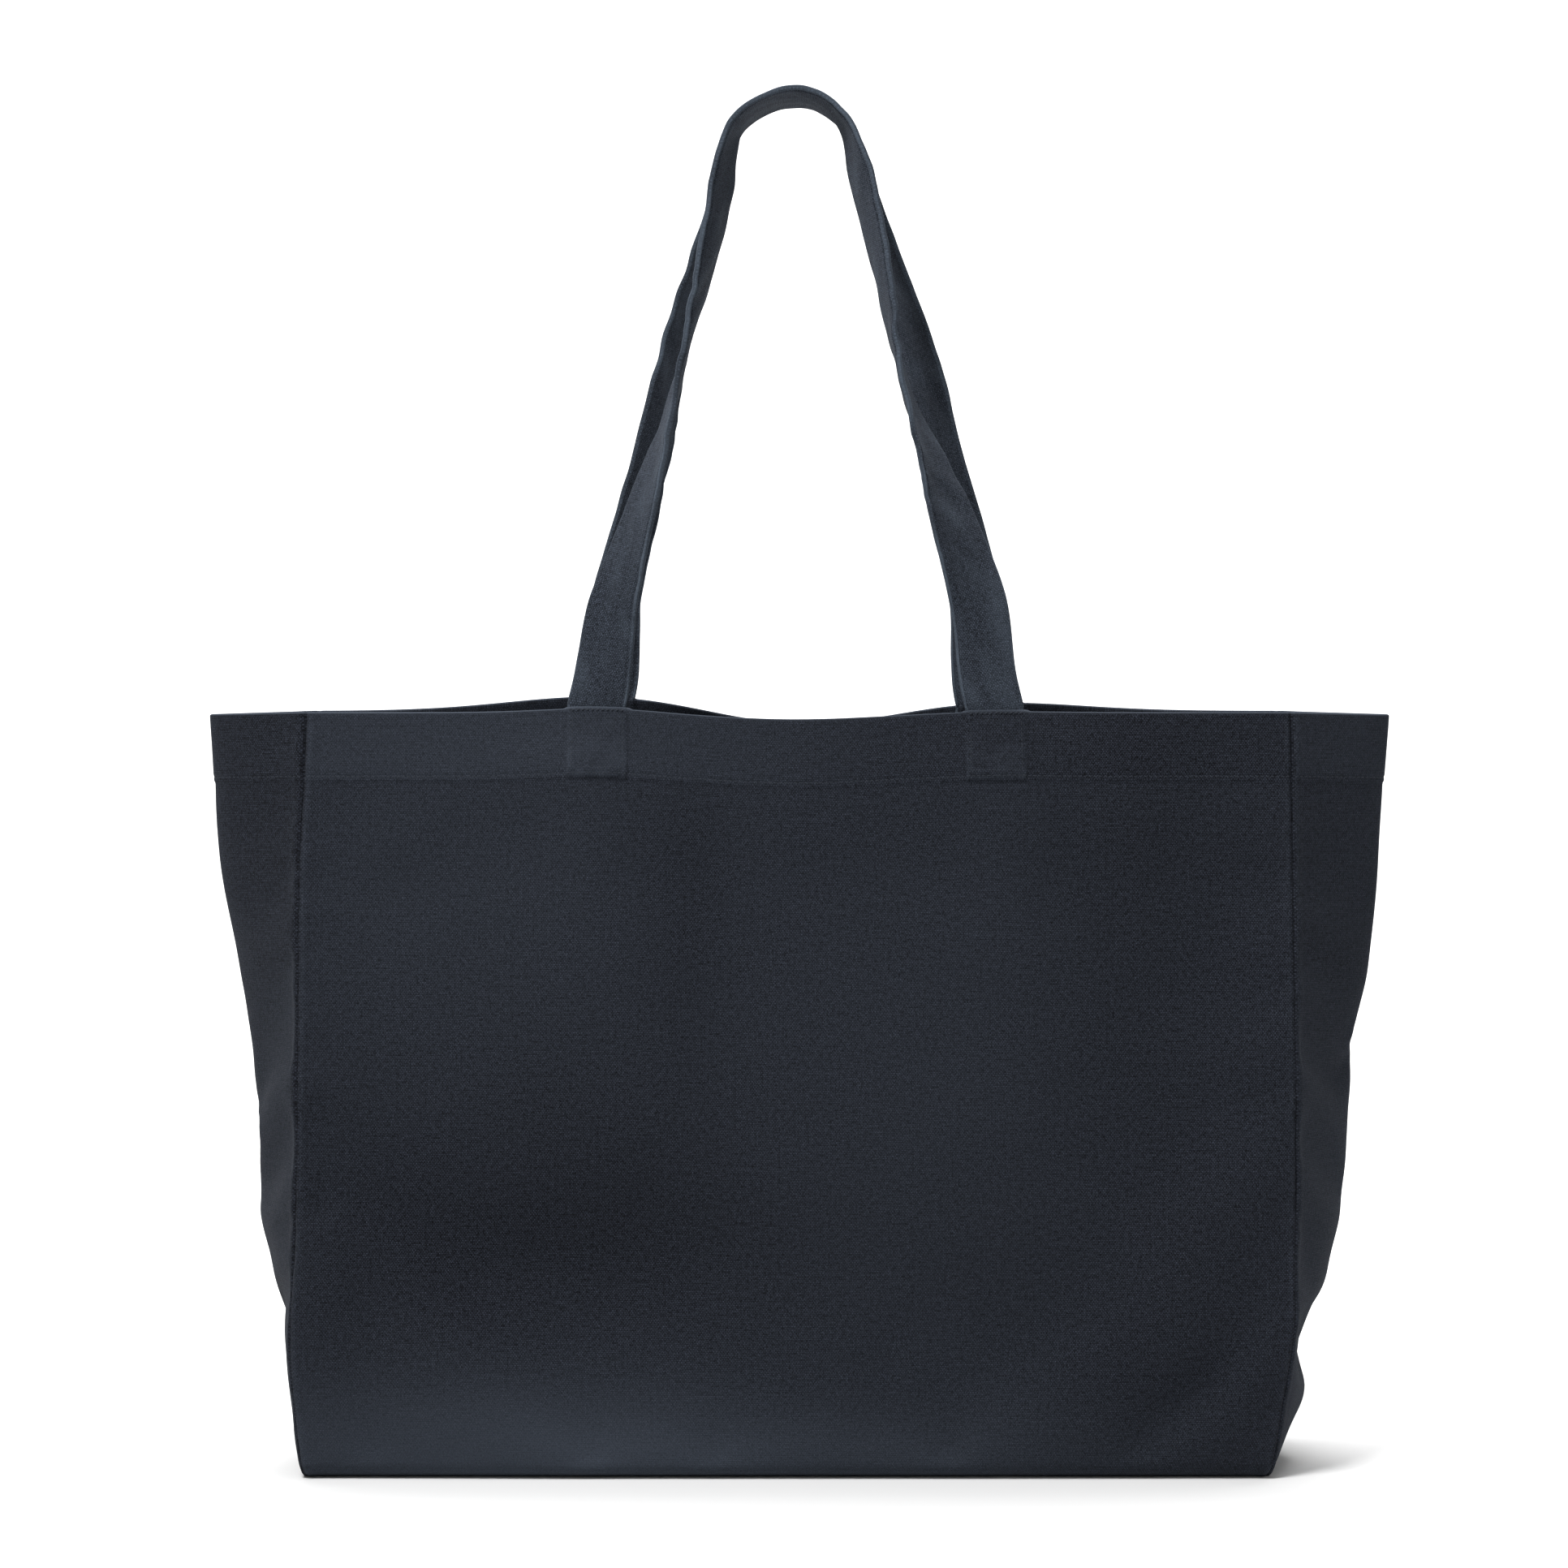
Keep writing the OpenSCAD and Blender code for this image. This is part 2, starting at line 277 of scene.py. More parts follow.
def seam_points(grids):
    """Marks the points on the four side seams, in the order of the shell's points."""
    marks = []
    for grid in grids.values():
        mark = np.zeros(grid.shape[:2], bool)
        mark[0] = mark[-1] = True
        marks.append(mark.ravel())
    return np.concatenate(marks)


def settle(grids):
    """Lets the four faces slacken and sag as one cloth shell; gives each point's move."""
    points, faces, starts = [], [], {}
    total = 0
    for name, grid in grids.items():
        n, m = grid.shape[:2]
        starts[name] = (total, n, m)
        points.append(grid.reshape(-1, 3))
        faces.append(grid_faces(n, m, total))
        total += n * m
    points = np.concatenate(points)
    mesh = bpy.data.meshes.new("settling")
    mesh.from_pydata(points.tolist(), [], np.concatenate(faces).tolist())
    shell = bpy.data.objects.new("settling", mesh)
    bpy.context.collection.objects.link(shell)

    height = points[:, 2]
    held = (height > BODY_H - HEM_H * 0.5) | (height < 3 * MM)
    weights = np.where(held, 1.0, np.where(seam_points(grids), 0.55, 0.0))
    pins = shell.vertex_groups.new(name="pins")
    for value in np.unique(weights[weights > 0]):
        pins.add(np.flatnonzero(weights == value).tolist(), float(value), "REPLACE")

    cloth = shell.modifiers.new("cloth", "CLOTH")
    cloth.settings.quality = 6
    cloth.settings.mass = 0.3
    cloth.settings.tension_stiffness = 40
    cloth.settings.compression_stiffness = 20
    cloth.settings.shear_stiffness = 8
    cloth.settings.bending_stiffness = 8
    cloth.settings.shrink_min = -SLACK
    cloth.settings.shrink_max = -SLACK
    cloth.settings.vertex_group_mass = "pins"
    cloth.settings.pin_stiffness = 4
    cloth.settings.effector_weights.gravity = GRAVITY_SHARE
    cloth.collision_settings.use_collision = False
    cloth.point_cache.frame_start = 1
    cloth.point_cache.frame_end = SIM_FRAMES
    for step in range(1, SIM_FRAMES + 1):
        bpy.context.scene.frame_set(step)
    graph = bpy.context.evaluated_depsgraph_get()
    moved = np.empty(len(points) * 3, np.float32)
    shell.evaluated_get(graph).data.vertices.foreach_get("co", moved)
    move = moved.reshape(-1, 3) - points
    length = np.linalg.norm(move, axis=1, keepdims=True)
    move *= SIM_CAP * np.tanh(length / SIM_CAP) / np.maximum(length, 1e-9)
    bpy.context.scene.frame_set(1)
    bpy.data.objects.remove(shell)
    bpy.data.meshes.remove(mesh)
    return {name: move[s:s + n * m].reshape(n, m, 3) for name, (s, n, m) in starts.items()}


def join_moves(moves):
    """Gives both sides of every side seam the same move and keeps the base still."""
    for wall in ("front", "back"):
        row = 0 if wall == "front" else -1
        for end, column in (("left", 0), ("right", -1)):
            mean = (moves[wall][column] + moves[end][row]) / 2
            moves[wall][column] = mean
            moves[end][row] = mean
    fade = smooth((BODY_H - 20 * MM - V_COARSE) / 0.07)
    for move in moves.values():
        move *= fade[None, :, None]
        move[:, 0] = 0
    return moves


def resample(grid, rows, columns, s, t):
    """Smooth values of a grid at any places s, t between its rows and columns."""
    def weights(axis, at):
        place = np.clip((at - axis[0]) / (axis[-1] - axis[0]) * (len(axis) - 1), 0, len(axis) - 1.001)
        k = np.floor(place).astype(int)
        f = place - k
        w = [(-f + 2 * f ** 2 - f ** 3) / 2, (2 - 5 * f ** 2 + 3 * f ** 3) / 2,
             (f + 4 * f ** 2 - 3 * f ** 3) / 2, (-f ** 2 + f ** 3) / 2]
        return [(np.clip(k + i - 1, 0, len(axis) - 1), w[i]) for i in range(4)]
    total = 0
    for i, wi in weights(rows, s):
        for j, wj in weights(columns, t):
            total = total + grid[i, j] * (wi * wj)[..., None]
    return total


MOVES = join_moves(settle(shell_grids()))


# ---------------- finished cloth surfaces

HEM_ROW = HEM_EDGE + 2.2 * MM


class Face:
    """One upright face of the bag: places any u, v and depth inwards on its cloth.

    u runs across the face in metres from its middle, v up it from the base.
    """

    def __init__(self, name, shape, half, coarse):
        self.name = name
        self.is_wall = name in ("front", "back")
        self.half = half
        self.us = np.linspace(-half, half, int(round(2 * half / GRID)) + 1)
        self.vs = np.linspace(0, BODY_H, int(round(BODY_H / GRID)) + 1)
        u, v = np.meshgrid(self.us, self.vs, indexing="ij")
        points = shape(u, v) + resample(MOVES[name], coarse, V_COARSE, u, v)
        du = np.gradient(points, self.us, axis=0)
        dv = np.gradient(points, self.vs, axis=1)
        normals = np.cross(du, dv)
        normals /= np.linalg.norm(normals, axis=-1, keepdims=True)
        middle = normals[len(self.us) // 2, len(self.vs) // 2]
        outward = points[len(self.us) // 2, len(self.vs) // 2] * [1, 1, 0]
        if middle @ outward < 0:
            normals = -normals
        self.points, self.normals = points, normals

    def mix(self, table, u, v):
        """Values of one of the face's own tables at any u, v."""
        fu = np.clip((u + self.half) / (2 * self.half), 0, 1) * (len(self.us) - 1)
        fv = np.clip(v / BODY_H, 0, 1) * (len(self.vs) - 1)
        i = np.minimum(fu.astype(int), len(self.us) - 2)
        j = np.minimum(fv.astype(int), len(self.vs) - 2)
        fu, fv = (fu - i)[..., None], (fv - j)[..., None]
        low = table[i, j] * (1 - fu) + table[i + 1, j] * fu
        high = table[i, j + 1] * (1 - fu) + table[i + 1, j + 1] * fu
        return low * (1 - fv) + high * fv

    def relief(self, u, v):
        """How far hem, handle ends, stitching and seams raise the outer cloth."""
        seam = self.half - np.abs(u)
        rise = 0.9 * MM * smooth((v - HEM_EDGE + 1 * MM) / (2 * MM))
        rise = rise - 0.45 * MM * bump(v, HEM_ROW, 0.9 * MM)
        pucker = value_noise(v / 0.0075 + self.half * 40, seam / 0.012, 21)
        rise = rise + 0.55 * MM * pucker * bump(seam, 4 * MM, 5 * MM) * smooth(v / 0.02)
        rise = rise - 3 * MM * bump(seam, 0, 1.1 * MM) + 0.45 * MM * bump(seam, 3.5 * MM, 2 * MM)
        if not self.is_wall:
            pressed = smooth((11 * MM - seam) / (1.6 * MM)) * smooth((v - HEM_EDGE - 1 * MM) / (2 * MM))
            rise = rise + 0.5 * MM * pressed
        ripple = value_noise(u / 0.006 + 7, v / 0.02, 22)
        rise = rise + 0.16 * MM * ripple * bump(v, HEM_EDGE, 9 * MM)
        if self.is_wall:
            for end in (LEFT, RIGHT):
                across = smooth((STRAP_W / 2 + 0.9 * MM - np.abs(u - end * TAB_X)) / (1.8 * MM))
                up = smooth((v - TAB_LOW_Z + 1 * MM) / (1.6 * MM))
                lumpy = 0.3 * MM * value_noise(u / 0.004 + 60, v / 0.0045, 82)
                lumpy = lumpy + 0.25 * MM * value_noise(u / 0.009, v / 0.009, 83)
                rise = rise + (1.7 * MM + lumpy) * across * up
        return rise

    def at(self, u, v, depth):
        """Points at a depth under the outer cloth, following its relief."""
        u, v, depth = np.broadcast_arrays(u, v, depth)
        inner = np.clip(depth / (1.5 * MM), 0, 1)
        lift = self.relief(u, v) * (1 - 0.4 * inner) - depth
        return self.mix(self.points, u, v) + self.mix(self.normals, u, v) * lift[..., None]


GUSSET_COARSE = A_COARSE * HALF_D
FACES = {
    "front": Face("front", lambda u, v: wall_shape(u, v, FRONT), HALF_W, U_COARSE),
    "back": Face("back", lambda u, v: wall_shape(u, v, BACK), HALF_W, U_COARSE),
    "left": Face("left", lambda u, v: gusset_shape(u / HALF_D, v, LEFT), HALF_D, GUSSET_COARSE),
    "right": Face("right", lambda u, v: gusset_shape(u / HALF_D, v, RIGHT), HALF_D, GUSSET_COARSE),
}


# ---------------- mesh making


def add_mesh(name, points, faces, uv=None, wear=None, material=None):
    """A smooth mesh object from arrays of points and faces, with its flat map, and its wear with painted
    light and shade.
    """
    mesh = bpy.data.meshes.new(name)
    mesh.from_pydata(np.asarray(points).tolist(), [], [list(map(int, f)) for f in faces])
    corners = np.empty(len(mesh.loops), np.int32)
    mesh.loops.foreach_get("vertex_index", corners)
    if uv is not None:
        layer = mesh.uv_layers.new(name="cloth")
        layer.data.foreach_set("uv", np.asarray(uv, np.float32)[corners].ravel())
    wear_and_shading_layer = mesh.attributes.new("wear", "FLOAT", "POINT")
    wear_and_shading_layer.data.foreach_set("value", np.asarray(np.zeros(len(points)) if wear is None else wear, np.float32))
    mesh.polygons.foreach_set("use_smooth", np.ones(len(mesh.polygons), bool))
    mesh.update()
    thing = bpy.data.objects.new(name, mesh)
    bpy.context.collection.objects.link(thing)
    if material:
        mesh.materials.append(material)
    return thing


def surface_normals(grid):
    """Unit normals of a grid of points."""
    across = np.gradient(grid, axis=0)
    along = np.gradient(grid, axis=1)
    normals = np.cross(across, along)
    return normals / np.maximum(np.linalg.norm(normals, axis=-1, keepdims=True), 1e-12)


def thick_grid(name, grid, normals, thickness, uv, wear, material):
    """A closed sheet of cloth of even thickness about a grid of points."""
    n, m = grid.shape[:2]
    outer = (grid + normals * thickness / 2).reshape(-1, 3)
    inner = (grid - normals * thickness / 2).reshape(-1, 3)
    top = grid_faces(n, m)
    under = top[:, ::-1] + n * m
    index = np.arange(n * m).reshape(n, m)
    loop = np.concatenate([index[:, 0], index[-1, 1:], index[-2::-1, -1], index[0, -2:0:-1]])
    after = np.roll(loop, -1)
    rim = np.stack([after, loop, loop + n * m, after + n * m], -1)
    faces = np.concatenate([top, under, rim])
    return add_mesh(name, np.concatenate([outer, inner]), faces,
                    np.concatenate([uv.reshape(-1, 2)] * 2),
                    np.concatenate([wear.ravel()] * 2), material)


def join(name, parts, material):
    """One object from (points, faces) parts."""
    points, faces, total = [], [], 0
    for p, f in parts:
        points.append(np.asarray(p))
        faces.extend((np.asarray(f) + total).tolist())
        total += len(p)
    points = np.concatenate(points)
    uv = points[:, [0, 2]] + points[:, [1, 1]] * 0.7
    return add_mesh(name, points, faces, uv, material=material)


def stitch_parts(middles, along, outward, length, thick):
    """Small thread stitches: a bowed bead of thread at each middle."""
    sides, rings = 6, 5
    s = np.linspace(-1, 1, rings)
    radius = np.sqrt(np.clip(1 - (0.93 * s) ** 4, 0.02, 1)) * thick / 2
    angle = np.arange(sides) * 2 * math.pi / sides
    local = np.stack([
        np.repeat(s * length / 2, sides),
        np.outer(radius, np.cos(angle)).ravel(),
        (np.outer(radius, np.sin(angle)) - (s ** 2 * thick * 0.45)[:, None]).ravel()], -1)
    side = np.cross(outward, along)
    points = (middles[:, None] + local[None, :, 0:1] * along[:, None]
              + local[None, :, 1:2] * side[:, None] + local[None, :, 2:3] * outward[:, None])
    k = np.arange((rings - 1) * sides)
    turn = k // sides * sides + (k + 1) % sides
    quads = np.stack([k, turn, turn + sides, k + sides], -1)
    faces = (quads[None] + (np.arange(len(middles)) * sides * rings)[:, None, None]).reshape(-1, 4)
    return points.reshape(-1, 3), faces


def unit(v):
    """Vectors scaled to length 1."""
    return v / np.maximum(np.linalg.norm(v, axis=-1, keepdims=True), 1e-12)


def row_on_face(face, path, pitch, length, thick, depth=-0.12 * MM, slant=0.0):
    """Stitches along a path of (u, v) points on a face."""
    path = np.asarray(path, float)
    spans = np.linalg.norm(np.diff(path, axis=0), axis=1)
    reach = np.concatenate([[0], np.cumsum(spans)])
    count = max(1, int(reach[-1] / pitch))
    at = (np.arange(count) + 0.5) * reach[-1] / count
    step = 0.5 * MM
    u, v = np.interp(at, reach, path[:, 0]), np.interp(at, reach, path[:, 1])
    du = np.interp(at + step, reach, path[:, 0]) - np.interp(at - step, reach, path[:, 0])
    dv = np.interp(at + step, reach, path[:, 1]) - np.interp(at - step, reach, path[:, 1])
    size = np.hypot(du, dv)
    du, dv = du / size, dv / size
    du, dv = du - slant * dv, dv + slant * du

    def heading(to_u, to_v):
        """Direction in space of a direction on the face, at each stitch."""
        ahead = face.at(u + to_u * step, v + to_v * step, depth)
        behind = face.at(u - to_u * step, v - to_v * step, depth)
        return unit(ahead - behind)

    along = heading(du, dv)
    outward = unit(np.cross(along, heading(-dv, du)))
    flat = face.mix(face.normals, u, v)
    outward *= np.sign((outward * flat).sum(-1, keepdims=True))
    return stitch_parts(face.at(u, v, depth), along, outward, length, thick)


# ---------------- materials


class Nodes:
    """Short way to build a material's node tree."""

    def __init__(self, name):
        self.material = bpy.data.materials.new(name)
        self.material.use_nodes = True
        self.tree = self.material.node_tree
        self.shader = self.tree.nodes["Principled BSDF"]

    def put(self, target, value):
        if isinstance(value, bpy.types.NodeSocket):
            self.tree.links.new(value, target)
        else:
            target.default_value = value

    def node(self, kind, **inputs):
        made = self.tree.nodes.new(kind)
        for key, value in inputs.items():
            self.put(made.inputs[key.replace("_", " ")], value)
        return made

    def math(self, operation, a, b=0.0, clamp=False):
        made = self.tree.nodes.new("ShaderNodeMath")
        made.operation = operation
        made.use_clamp = clamp
        self.put(made.inputs[0], a)
        self.put(made.inputs[1], b)
        return made.outputs[0]

    def mix(self, share, a, b):
        made = self.tree.nodes.new("ShaderNodeMix")
        made.data_type = "RGBA"
        self.put(made.inputs[0], share)
        self.put(made.inputs[6], a)
        self.put(made.inputs[7], b)
        return made.outputs[2]

    def noise(self, vector, scale, detail=2.0, rough=0.5):
        made = self.node("ShaderNodeTexNoise", Vector=vector, Scale=scale, Detail=detail, Roughness=rough)
        return made.outputs["Fac"]

    def stretch(self, vector, x, y):
        made = self.node("ShaderNodeMapping", Vector=vector)
        made.inputs["Scale"].default_value = (x, y, 1)
        return made.outputs["Vector"]


def shade(colour, gain):
    """A colour made lighter or darker, with full alpha."""
    return tuple(c * gain for c in colour[:3]) + (1.0,)


# Spacing of the yarns across and up the cloth
WARP = 0.68 * MM
WEFT = 0.94 * MM
# How much each noise changes the cloth's tone
SLUB_TONE = 0.4
FLECK_TONE = 4.6
PATCH_TONE = 0.3
MOTTLE_TONE = 1.5
DARKEST_TONE = 0.15
# Gain of the lighter colour that wear mixes in: dye fade, and painted light
FADED_AND_LIT_GAIN = 3.5
CLOTH_GLOSS = 0.07
THREAD_GLOSS = 0.12


def canvas(name, colour, nap=1.0):
    """Plain-weave canvas: two yarn tones, uneven yarns, flecks, dye fade, painted light and painted shade
    from the wear attribute, and sheen.
    """
    n = Nodes(name)
    uv = n.node("ShaderNodeUVMap")
    uv.uv_map = "cloth"
    place = uv.outputs["UV"]
    sway = n.noise(n.stretch(place, 60, 60), 1.0, 2.0)
    split = n.node("ShaderNodeSeparateXYZ", Vector=place)
    drift = n.math("MULTIPLY", n.math("SUBTRACT", sway, 0.5), 1.1)
    a = n.math("ADD", n.math("MULTIPLY", split.outputs["X"], math.pi / WARP), drift)
    b = n.math("ADD", n.math("MULTIPLY", split.outputs["Y"], math.pi / WEFT), drift)
    sin_a, sin_b = n.math("SINE", a), n.math("SINE", b)
    high_a, high_b = n.math("ABSOLUTE", sin_a), n.math("ABSOLUTE", sin_b)
    over = n.math("ADD", n.math("MULTIPLY", n.math("MULTIPLY", sin_a, sin_b), 1.6), 0.5, clamp=True)
    height = n.math("ADD", n.math("MULTIPLY", high_a, over),
                    n.math("MULTIPLY", high_b, n.math("SUBTRACT", 1.0, over)))

    slub_up = n.noise(n.stretch(place, 900, 45), 1.0, 3.0, 0.6)
    slub_across = n.noise(n.stretch(place, 45, 700), 1.0, 3.0, 0.6)
    slub = n.math("SUBTRACT", n.math("ADD", slub_up, slub_across), 1.0)
    fleck = n.noise(n.stretch(place, 1150, 950), 1.0, 3.0, 0.65)
    mottle = n.noise(n.stretch(place, 430, 360), 1.0, 1.0, 0.6)
    patch = n.noise(n.stretch(place, 14, 11), 1.0, 3.0, 0.55)

    yarns = n.mix(over, shade(colour, 1.75), shade(colour, 0.85))
    gap = n.math("POWER", n.math("SUBTRACT", 1.0, height, clamp=True), 1.1)
    gaps = n.mix(gap, yarns, shade(colour, 0.12))
    tone = n.math("ADD", 1.0, n.math("MULTIPLY", slub, SLUB_TONE))
    for noise, strength in ((fleck, FLECK_TONE), (patch, PATCH_TONE), (mottle, MOTTLE_TONE)):
        tone = n.math("ADD", tone, n.math("MULTIPLY", n.math("SUBTRACT", noise, 0.5), strength))
    # Wear below 0 darkens the cloth: painted shade in the seam hollows and over the left gusset. Wear above 0
    # mixes in a lighter colour: dye fade and rubbing, and painted light on the front's folds and lower edge,
    # on the rim fold and on the strap edges.
    wear = n.node("ShaderNodeAttribute")
    wear.attribute_name = "wear"
    tone_with_painted_shade = n.math("ADD", tone, n.math("MINIMUM", wear.outputs["Fac"], 0.0))
    tone = n.math("MAXIMUM", tone_with_painted_shade, DARKEST_TONE)
    toned = n.node("ShaderNodeVectorMath", Vector=gaps)
    toned.operation = "SCALE"
    n.put(toned.inputs["Scale"], tone)

    # The lighter colour for dye fade and painted light
    fade_and_painted_shading = (colour[0] * 1.02, colour[1] * 1.06, colour[2] * 1.0)
    rubbed_and_lit = n.math("MULTIPLY", wear.outputs["Fac"], n.math("ADD", 0.35, fleck), clamp=True)
    n.put(n.shader.inputs["Base Color"], n.mix(rubbed_and_lit, toned.outputs["Vector"], shade(fade_and_painted_shading, FADED_AND_LIT_GAIN)))

    relief = n.math("ADD", n.math("MULTIPLY", height, 0.2 * MM), n.math("MULTIPLY", slub, 0.14 * MM))
    relief = n.math("ADD", relief, n.math("MULTIPLY", fleck, 0.4 * MM))
    bump_node = n.node("ShaderNodeBump", Strength=0.9, Distance=1.0, Height=relief)
    n.put(n.shader.inputs["Normal"], bump_node.outputs["Normal"])
    n.put(n.shader.inputs["Roughness"], n.math("ADD", 0.82, n.math("MULTIPLY", fleck, 0.14)))
    n.shader.inputs["Specular IOR Level"].default_value = CLOTH_GLOSS
    n.shader.inputs["Sheen Weight"].default_value = 0.06 * nap
    n.shader.inputs["Sheen Roughness"].default_value = 0.45
    n.shader.inputs["Sheen Tint"].default_value = (0.62, 0.7, 0.85, 1)
    return n.material


def thread(name, colour):
    """Twisted sewing thread with a soft gloss."""
    n = Nodes(name)
    uv = n.node("ShaderNodeUVMap")
    uv.uv_map = "cloth"
    twist = n.noise(n.stretch(uv.outputs["UV"], 1600, 1600), 1.0, 2.0)
    n.put(n.shader.inputs["Base Color"], n.mix(twist, shade(colour, 0.7), shade(colour, 1.35)))
    fuzz = n.node("ShaderNodeBump", Strength=0.6, Distance=0.2 * MM, Height=twist)
    n.put(n.shader.inputs["Normal"], fuzz.outputs["Normal"])
    n.shader.inputs["Roughness"].default_value = 0.7
    n.shader.inputs["Specular IOR Level"].default_value = THREAD_GLOSS
    n.shader.inputs["Sheen Weight"].default_value = 0.08
    return n.material


CANVAS = canvas("canvas", (0.0113, 0.0131, 0.0181))
STRAP_CANVAS = canvas("strap_canvas", (0.0184, 0.0222, 0.0300), nap=1.2)
ALLOWANCE = canvas("allowance_canvas", (0.0125, 0.015, 0.0192))
THREAD = thread("thread", (0.0175, 0.0215, 0.0290))
STRAP_THREAD = thread("strap_thread", (0.022, 0.028, 0.039))
OVERCAST = thread("overcast_thread", (0.013, 0.0165, 0.022))


# ---------------- panels and gussets


# Where the cloth starts to turn over at the rim
RIM_TURN = BODY_H - 1.8 * MM
# Tone of the faces other than the front; the left gusset's is painted shade
PLAIN_FADE = 0.09
LEFT_PAINTED_SHADE = -0.14
HEM_STITCH = {"pitch": 2.6 * MM, "length": 1.9 * MM, "thick": 0.36 * MM, "depth": -0.04 * MM}
RIM_STITCH = {"pitch": 2.5 * MM, "length": 1.5 * MM, "thick": 0.6 * MM, "slant": 0.5}
BOX_STITCH = {"pitch": 2.6 * MM, "length": 1.9 * MM, "thick": 0.3 * MM, "depth": 0.16 * MM}


def outer_rows():
    """Heights of a face's rows on the outside, closer together at the base and over the hem."""
    return np.concatenate([np.linspace(0, 12 * MM, 7)[:-1],
                           np.arange(12 * MM, HEM_EDGE - 5 * MM, GRID),
                           np.arange(HEM_EDGE - 5 * MM, HEM_EDGE + 6 * MM, 0.9 * MM),
                           np.arange(HEM_EDGE + 6 * MM, BODY_H - 3.4 * MM, 1.5 * MM),
                           [BODY_H - 3 * MM, BODY_H - 2.4 * MM, RIM_TURN]])


def fading_and_painted_shading(u, v, name):
    """Lighter and darker places of a face, for its wear attribute: on the front, painted light and painted
    shade over its folds, its lower edge, its hem and its right side; elsewhere an even tone with random
    changes and a lighter hem, and painted shade over the left gusset.
    """
    hem = smooth((v - HEM_EDGE) / (2 * MM))
    if name != "front":
        fade_and_painted_shading = LEFT_PAINTED_SHADE if name == "left" else PLAIN_FADE
        return fade_and_painted_shading + 0.05 * value_noise(u / 0.11 + 2, v / 0.09 + len(name), 71) + 0.07 * hem
    # Painted light: lighter patches, and a lighter lower edge where the front rounds under
    upper = 0.9 * bump(u, -0.18, 0.1) * bump(v, 0.31, 0.09)
    middle = 0.7 * bump(u, 0.06, 0.07) * bump(v, 0.16, 0.13)
    low_left = 6.9 * bump(u, -0.155, 0.14) * bump(v, 0.004, 0.04)
    low_middle = 3.0 * bump(u, 0.06, 0.15) * bump(v, 0.0, 0.03)
    # Painted shade: darker patches and a darker right side
    dark = 0.9 * bump(u, -0.15, 0.13) * bump(v, 0.125, 0.065)
    dark += 0.5 * bump(u, -0.055, 0.02) * bump(v, 0.29, 0.06)
    dark += 0.5 * smooth((u - 0.1) / 0.08)
    # Painted light on the hem's left, turning to painted shade on its right
    hem_share = 1.3 - 1.7 * smooth((u + 0.08) / 0.16)
    pale = upper + middle + low_left + low_middle + hem * hem_share
    return np.clip(PLAIN_FADE + 0.1 * (pale - dark), 0, 1)


def tab_wear(u, v):
    """Rubbed patches over the handle ends, strongest at their lower corners."""
    near = STRAP_W / 2 - np.abs(np.abs(u) - TAB_X)
    inside = smooth((near + 0.5 * MM) / (1.5 * MM)) * smooth((v - TAB_LOW_Z + 1 * MM) / (1.5 * MM))
    edge = bump(near, 0.3 * MM, 1 * MM) + bump(v, TAB_LOW_Z + 0.5 * MM, 1.2 * MM)
    low = smooth((TAB_LOW_Z + 24 * MM - v) / (16 * MM))
    blotch = 0.5 + 0.5 * value_noise(u / 0.0045 + 60, v / 0.0045, 81)
    return inside * low * (0.16 * blotch + 0.22 * np.clip(edge, 0, 1) * (0.3 + blotch))


def tab_depth(u):
    """Extra depth of the turned hem where a handle end lies inside it."""
    near = np.abs(np.abs(u) - TAB_X)
    return (STRAP_T - 0.4 * MM) * smooth((STRAP_W / 2 + 3.5 * MM - near) / (3.5 * MM))


def face_wear_and_painted_shading(face, us, flats, rubbed_and_lit):
    """Wear of a face's cloth, with painted light and shade: dye fade with painted light and shade over it, a
    lighter rim fold from rubbing and a painted highlight, rubbing over the handle ends, and painted shade in
    the seam hollows.
    """
    u, v = np.meshgrid(us, flats, indexing="ij")
    outside = v < BODY_H + 1 * MM
    wear = np.array(rubbed_and_lit) + fading_and_painted_shading(u, np.minimum(v, 2 * BODY_H - v), face.name)
    # A lighter rim fold: rubbing, and a painted highlight
    wear = wear + 0.45 * bump(v, BODY_H, 1.3 * MM) * outside
    seam = face.half - np.abs(us)
    # Painted shade down the hollow of each seam, with a lighter strip of wear beside it
    seam_wear_and_shade = 0.1 * bump(seam, 2.8 * MM, 1 * MM) - 0.85 * bump(seam, 0.2 * MM, 0.9 * MM)
    if face.is_wall:
        wear = wear + tab_wear(u, v) * outside
    else:
        seam_wear_and_shade = 0.4 * seam_wear_and_shade
    return np.clip(wear + seam_wear_and_shade[:, None] * outside, -0.9, 1)


